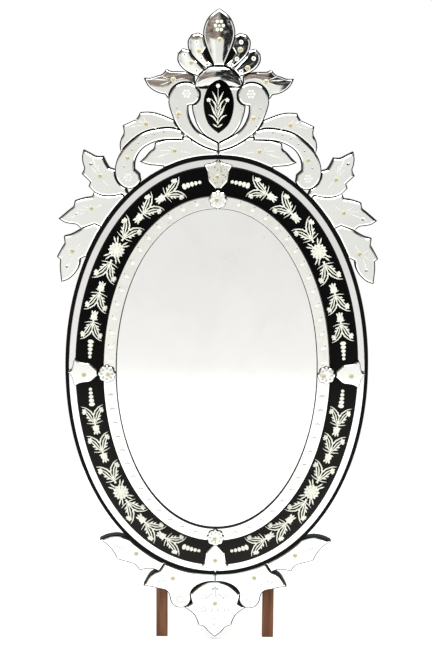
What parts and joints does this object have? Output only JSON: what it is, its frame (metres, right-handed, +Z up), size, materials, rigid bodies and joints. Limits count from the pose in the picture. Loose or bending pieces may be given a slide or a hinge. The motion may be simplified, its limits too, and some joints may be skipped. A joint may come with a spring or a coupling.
{
  "type": "wall mirror",
  "caption": "Tall oval wall mirror with engraved black glass bands, a crest of mirror glass leaves and scrolls, leaves at the shoulders and a glass apron.",
  "frame": {"origin": "on the wall, at the middle of the hanging rail's back face", "axes": "+Z up, +X to the right seen from the front, +Y into the wall; the mirror faces -Y"},
  "size_m": [0.8174, 0.0706, 1.6488],
  "materials": {
    "mirror_glass": "silvered glass, polished, with light foxing",
    "black_glass": "polished black glass with frosted engraving",
    "black_wood": "painted black, satin",
    "brown_wood": "plain planed softwood, stained brown",
    "brass": "small screw heads, dull"
  },
  "bodies": {
    "root": {"batten_left": "brown_wood", "batten_right": "brown_wood", "hanging_rail": "brown_wood", "backing_board": "brown_wood", "carcass": "black_wood", "crest_board": "black_wood", "shoulder_board_left": "black_wood", "shoulder_board_right": "black_wood", "apron_board": "black_wood", "centre_mirror": "mirror_glass", "outer_strip_top_right": "mirror_glass", "outer_strip_top_left": "mirror_glass", "outer_strip_bottom_left": "mirror_glass", "outer_strip_bottom_right": "mirror_glass", "black_band_top_right": "black_glass", "black_band_top_left": "black_glass", "black_band_bottom_left": "black_glass", "black_band_bottom_right": "black_glass", "inner_band_top_right": "mirror_glass", "inner_band_top_left": "mirror_glass", "inner_band_bottom_left": "mirror_glass", "inner_band_bottom_right": "mirror_glass", "bell_top": "mirror_glass", "bell_left": "mirror_glass", "bell_bottom": "mirror_glass", "bell_right": "mirror_glass", "rosette_top": "mirror_glass", "rosette_left": "mirror_glass", "rosette_bottom": "mirror_glass", "rosette_right": "mirror_glass", "tip_leaf": "mirror_glass", "upper_lobe_right": "mirror_glass", "upper_lobe_left": "mirror_glass", "lower_lobe_right": "mirror_glass", "lower_lobe_left": "mirror_glass", "crest_dome": "mirror_glass", "side_leaf_right": "mirror_glass", "side_leaf_left": "mirror_glass", "crest_shield": "mirror_glass", "medallion": "black_glass", "c_scroll_right": "mirror_glass", "c_scroll_left": "mirror_glass", "upper_leaf_right": "mirror_glass", "upper_leaf_left": "mirror_glass", "outer_scroll_right": "mirror_glass", "outer_scroll_left": "mirror_glass", "lower_leaf_right": "mirror_glass", "lower_leaf_left": "mirror_glass", "upturned_leaf_right": "mirror_glass", "upturned_leaf_left": "mirror_glass", "mid_leaf_right": "mirror_glass", "mid_leaf_left": "mirror_glass", "drooping_leaf_right": "mirror_glass", "drooping_leaf_left": "mirror_glass", "apron_wing_right": "mirror_glass", "apron_wing_left": "mirror_glass", "apron_leaf_right": "mirror_glass", "apron_leaf_left": "mirror_glass", "apron_shield": "mirror_glass"}
  },
  "joints": []
}
